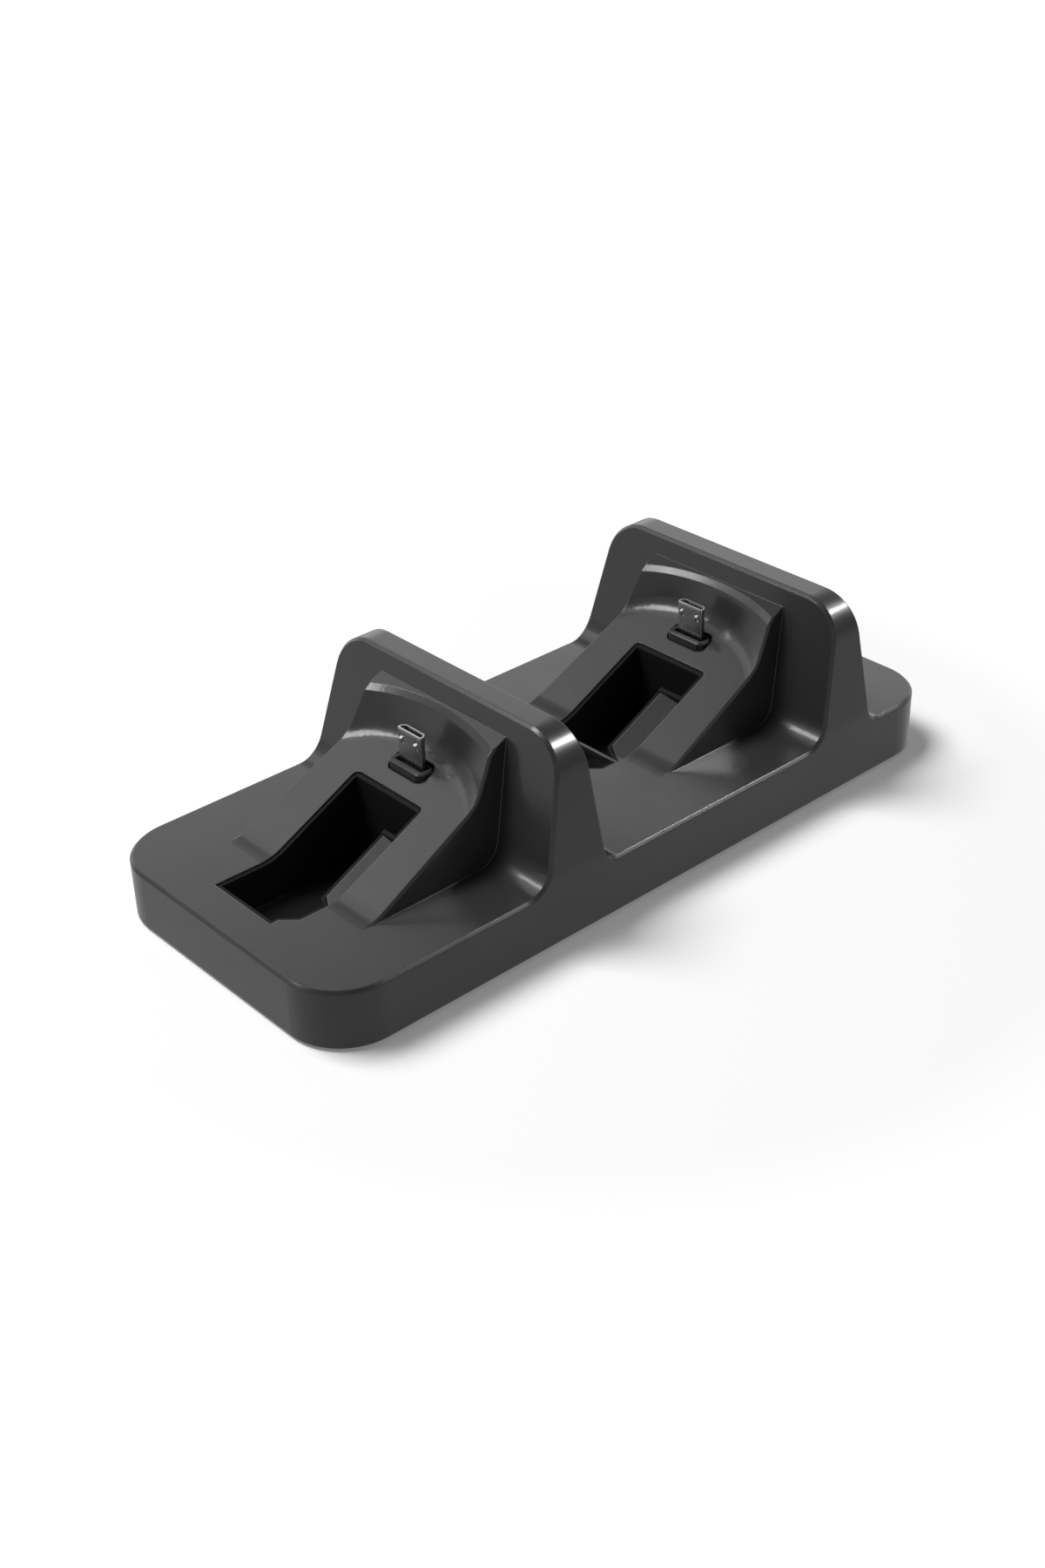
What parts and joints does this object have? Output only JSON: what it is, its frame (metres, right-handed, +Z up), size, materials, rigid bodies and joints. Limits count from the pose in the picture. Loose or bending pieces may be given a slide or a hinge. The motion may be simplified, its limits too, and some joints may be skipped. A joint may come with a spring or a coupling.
{
  "type": "controller charging dock",
  "caption": "Low moulded dock with scooped seats, backrest humps and upright plugs that hold and charge game controllers",
  "frame": {"origin": "middle of the footprint, on the table surface under the rubber feet", "axes": "+X from the front end to the end with the power inlet, +Y across the dock, +Z up"},
  "size_m": [0.167, 0.072, 0.0418],
  "materials": {
    "housing_plastic": "moulded charcoal plastic with a fine grain and a soft sheen",
    "liner_plastic": "moulded black plastic",
    "cover_plastic": "moulded dark plastic with a coarse grain",
    "collar_plastic": "moulded black plastic",
    "tongue_plastic": "smooth black plastic",
    "plug_steel": "bright plated steel",
    "contact_gold": "gilt contact strip",
    "circuit_board": "green lacquered laminate",
    "screw_steel": "zinc-plated steel",
    "foot_rubber": "soft black rubber",
    "chip_plastic": "black moulding compound",
    "capacitor_can": "bare aluminium can",
    "coil_core": "dark grey ferrite",
    "lead_cover": "red insulation"
  },
  "bodies": {
    "root": {"bottom_cover": "cover_plastic", "capacitors": "capacitor_can", "charge_chips": "chip_plastic", "charge_coil": "coil_core", "cover_screws": "screw_steel", "far_front_foot": "foot_rubber", "far_rear_foot": "foot_rubber", "front_plug_board": "circuit_board", "front_plug_board_screws": "screw_steel", "front_plug_collar": "collar_plastic", "front_plug_contacts": "contact_gold", "front_plug_latches": "plug_steel", "front_plug_leads": "lead_cover", "front_plug_shell": "plug_steel", "front_plug_tongue": "tongue_plastic", "front_well_liner": "liner_plastic", "inlet_contacts": "contact_gold", "inlet_shell": "plug_steel", "inlet_tongue": "tongue_plastic", "main_board": "circuit_board", "main_board_screws": "screw_steel", "near_front_foot": "foot_rubber", "near_rear_foot": "foot_rubber", "rear_plug_board": "circuit_board", "rear_plug_board_screws": "screw_steel", "rear_plug_collar": "collar_plastic", "rear_plug_contacts": "contact_gold", "rear_plug_latches": "plug_steel", "rear_plug_leads": "lead_cover", "rear_plug_shell": "plug_steel", "rear_plug_tongue": "tongue_plastic", "rear_well_liner": "liner_plastic", "upper_housing": "housing_plastic"}
  },
  "joints": []
}
